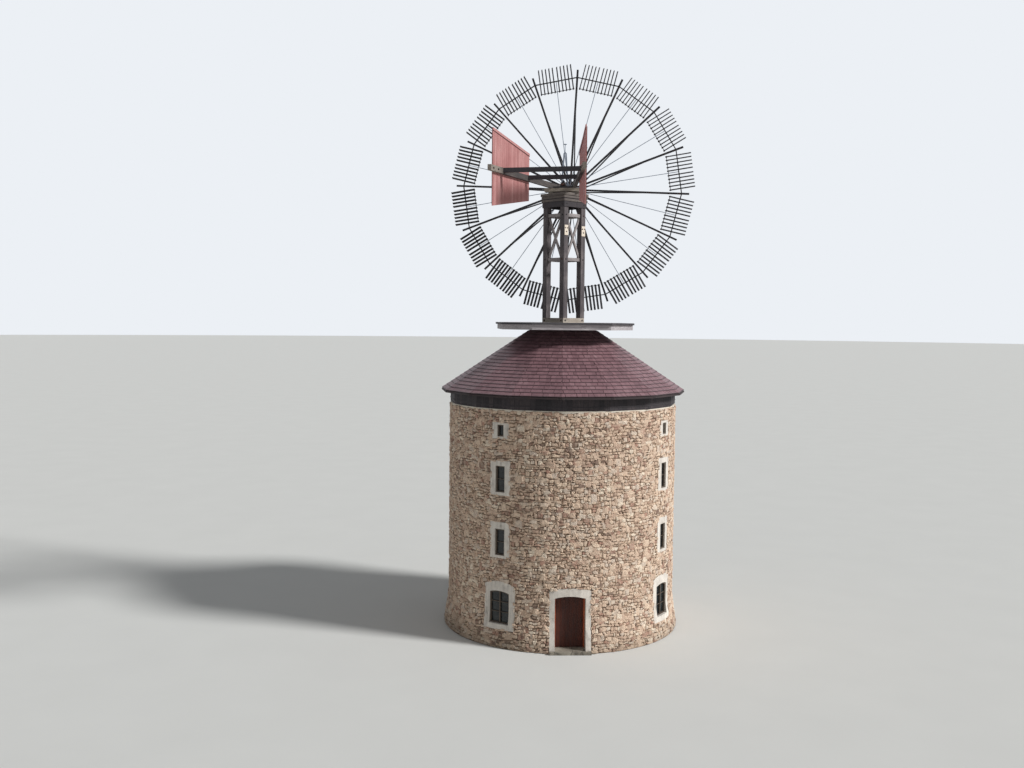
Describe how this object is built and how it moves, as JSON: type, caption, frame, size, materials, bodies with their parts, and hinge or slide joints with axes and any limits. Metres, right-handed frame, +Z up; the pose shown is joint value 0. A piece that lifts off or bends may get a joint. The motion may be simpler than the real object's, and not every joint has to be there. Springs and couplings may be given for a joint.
{
  "type": "tower windmill",
  "caption": "Round stone tower mill with a shingled roof, a timber deck and trestle, and a turning head with a V-shaped tail and a large slatted wind wheel.",
  "frame": {"origin": "on the ground at the tower's vertical axis", "axes": "+Z up, +Y along the wind shaft towards the wind wheel at rest, the tail along -Y"},
  "size_m": [9.7544, 10.13, 21.7072],
  "materials": {
    "rubble_stone": "rough rubble masonry in lime mortar",
    "pale_stone": "weathered dressed stone and plaster",
    "paving_stone": "worn flags",
    "floor_timber": "bare boards",
    "frame_timber": "weathered frame timber",
    "door_timber": "rust-brown stained boards",
    "roof_shingles": "weathered reddish shingles",
    "dark_timber": "dark tarred timber",
    "grey_timber": "weathered grey timber",
    "wheel_timber": "dark tarred slats",
    "red_boards": "faded red paint on boards",
    "dark_iron": "painted and rusting iron",
    "pale_iron": "galvanised rod",
    "cream_plate": "cream paint, chalked",
    "window_glass": "old clear glass"
  },
  "bodies": {
    "tower": {"wall_window_front": "rubble_stone", "wall_beside_door_left": "rubble_stone", "wall_over_door": "rubble_stone", "wall_beside_door_right": "rubble_stone", "wall_window_right": "rubble_stone", "wall_plain_right": "rubble_stone", "wall_window_back": "rubble_stone", "wall_plain_back": "rubble_stone", "wall_window_left": "rubble_stone", "wall_plain_left": "rubble_stone", "ground_floor": "paving_stone", "first_floor": "floor_timber", "second_floor": "floor_timber", "third_floor": "floor_timber", "window_surrounds": "pale_stone", "window_frames": "frame_timber", "window_glass": "window_glass", "threshold": "paving_stone", "door_jambs": "pale_stone", "door_head": "pale_stone", "door_frame": "frame_timber", "door_pintles": "dark_iron", "cornice": "dark_timber", "roof_front_right": "roof_shingles", "roof_back_right": "roof_shingles", "roof_back_left": "roof_shingles", "roof_front_left": "roof_shingles", "roof_curb": "dark_timber", "deck_frame": "grey_timber", "deck_boards": "grey_timber", "trestle_sills": "grey_timber", "trestle_posts": "grey_timber", "lower_rails": "grey_timber", "upper_rails": "grey_timber", "trestle_braces": "grey_timber", "cap_boards": "dark_timber", "cap_rails": "grey_timber", "splice_plates": "cream_plate", "trestle_platform": "dark_timber", "base_ring": "dark_iron"},
    "door": {"door_leaf": "door_timber", "door_straps": "dark_iron"},
    "head": {"turntable": "dark_iron", "bolsters": "grey_timber", "booms": "dark_timber", "tie_beams": "dark_timber", "bearing_beams": "dark_timber", "shaft_bearings": "dark_iron", "vane_left": "red_boards", "vane_right": "red_boards", "vane_battens": "red_boards", "mast": "dark_iron"},
    "wheel": {"wind_shaft": "dark_iron", "arms": "wheel_timber", "arm_braces": "wheel_timber", "panel_rods": "pale_iron", "sails_top_right": "wheel_timber", "sails_bottom_right": "wheel_timber", "sails_bottom_left": "wheel_timber", "sails_top_left": "wheel_timber"}
  },
  "joints": [
    {"name": "head_turn", "type": "hinge", "parent": "tower", "child": "head", "pos_m": [0, 0, 16.5], "axis": [0, 0, 1], "continuous": true},
    {"name": "wheel_turn", "type": "hinge", "parent": "head", "child": "wheel", "pos_m": [0, 1.25, 16.83], "axis": [0, 1, 0], "continuous": true},
    {"name": "door_swing", "type": "hinge", "parent": "tower", "child": "door", "pos_m": [0.53187, -3.90453, 0.5], "axis": [0, 0, 1], "range_deg": [0, 90]}
  ]
}
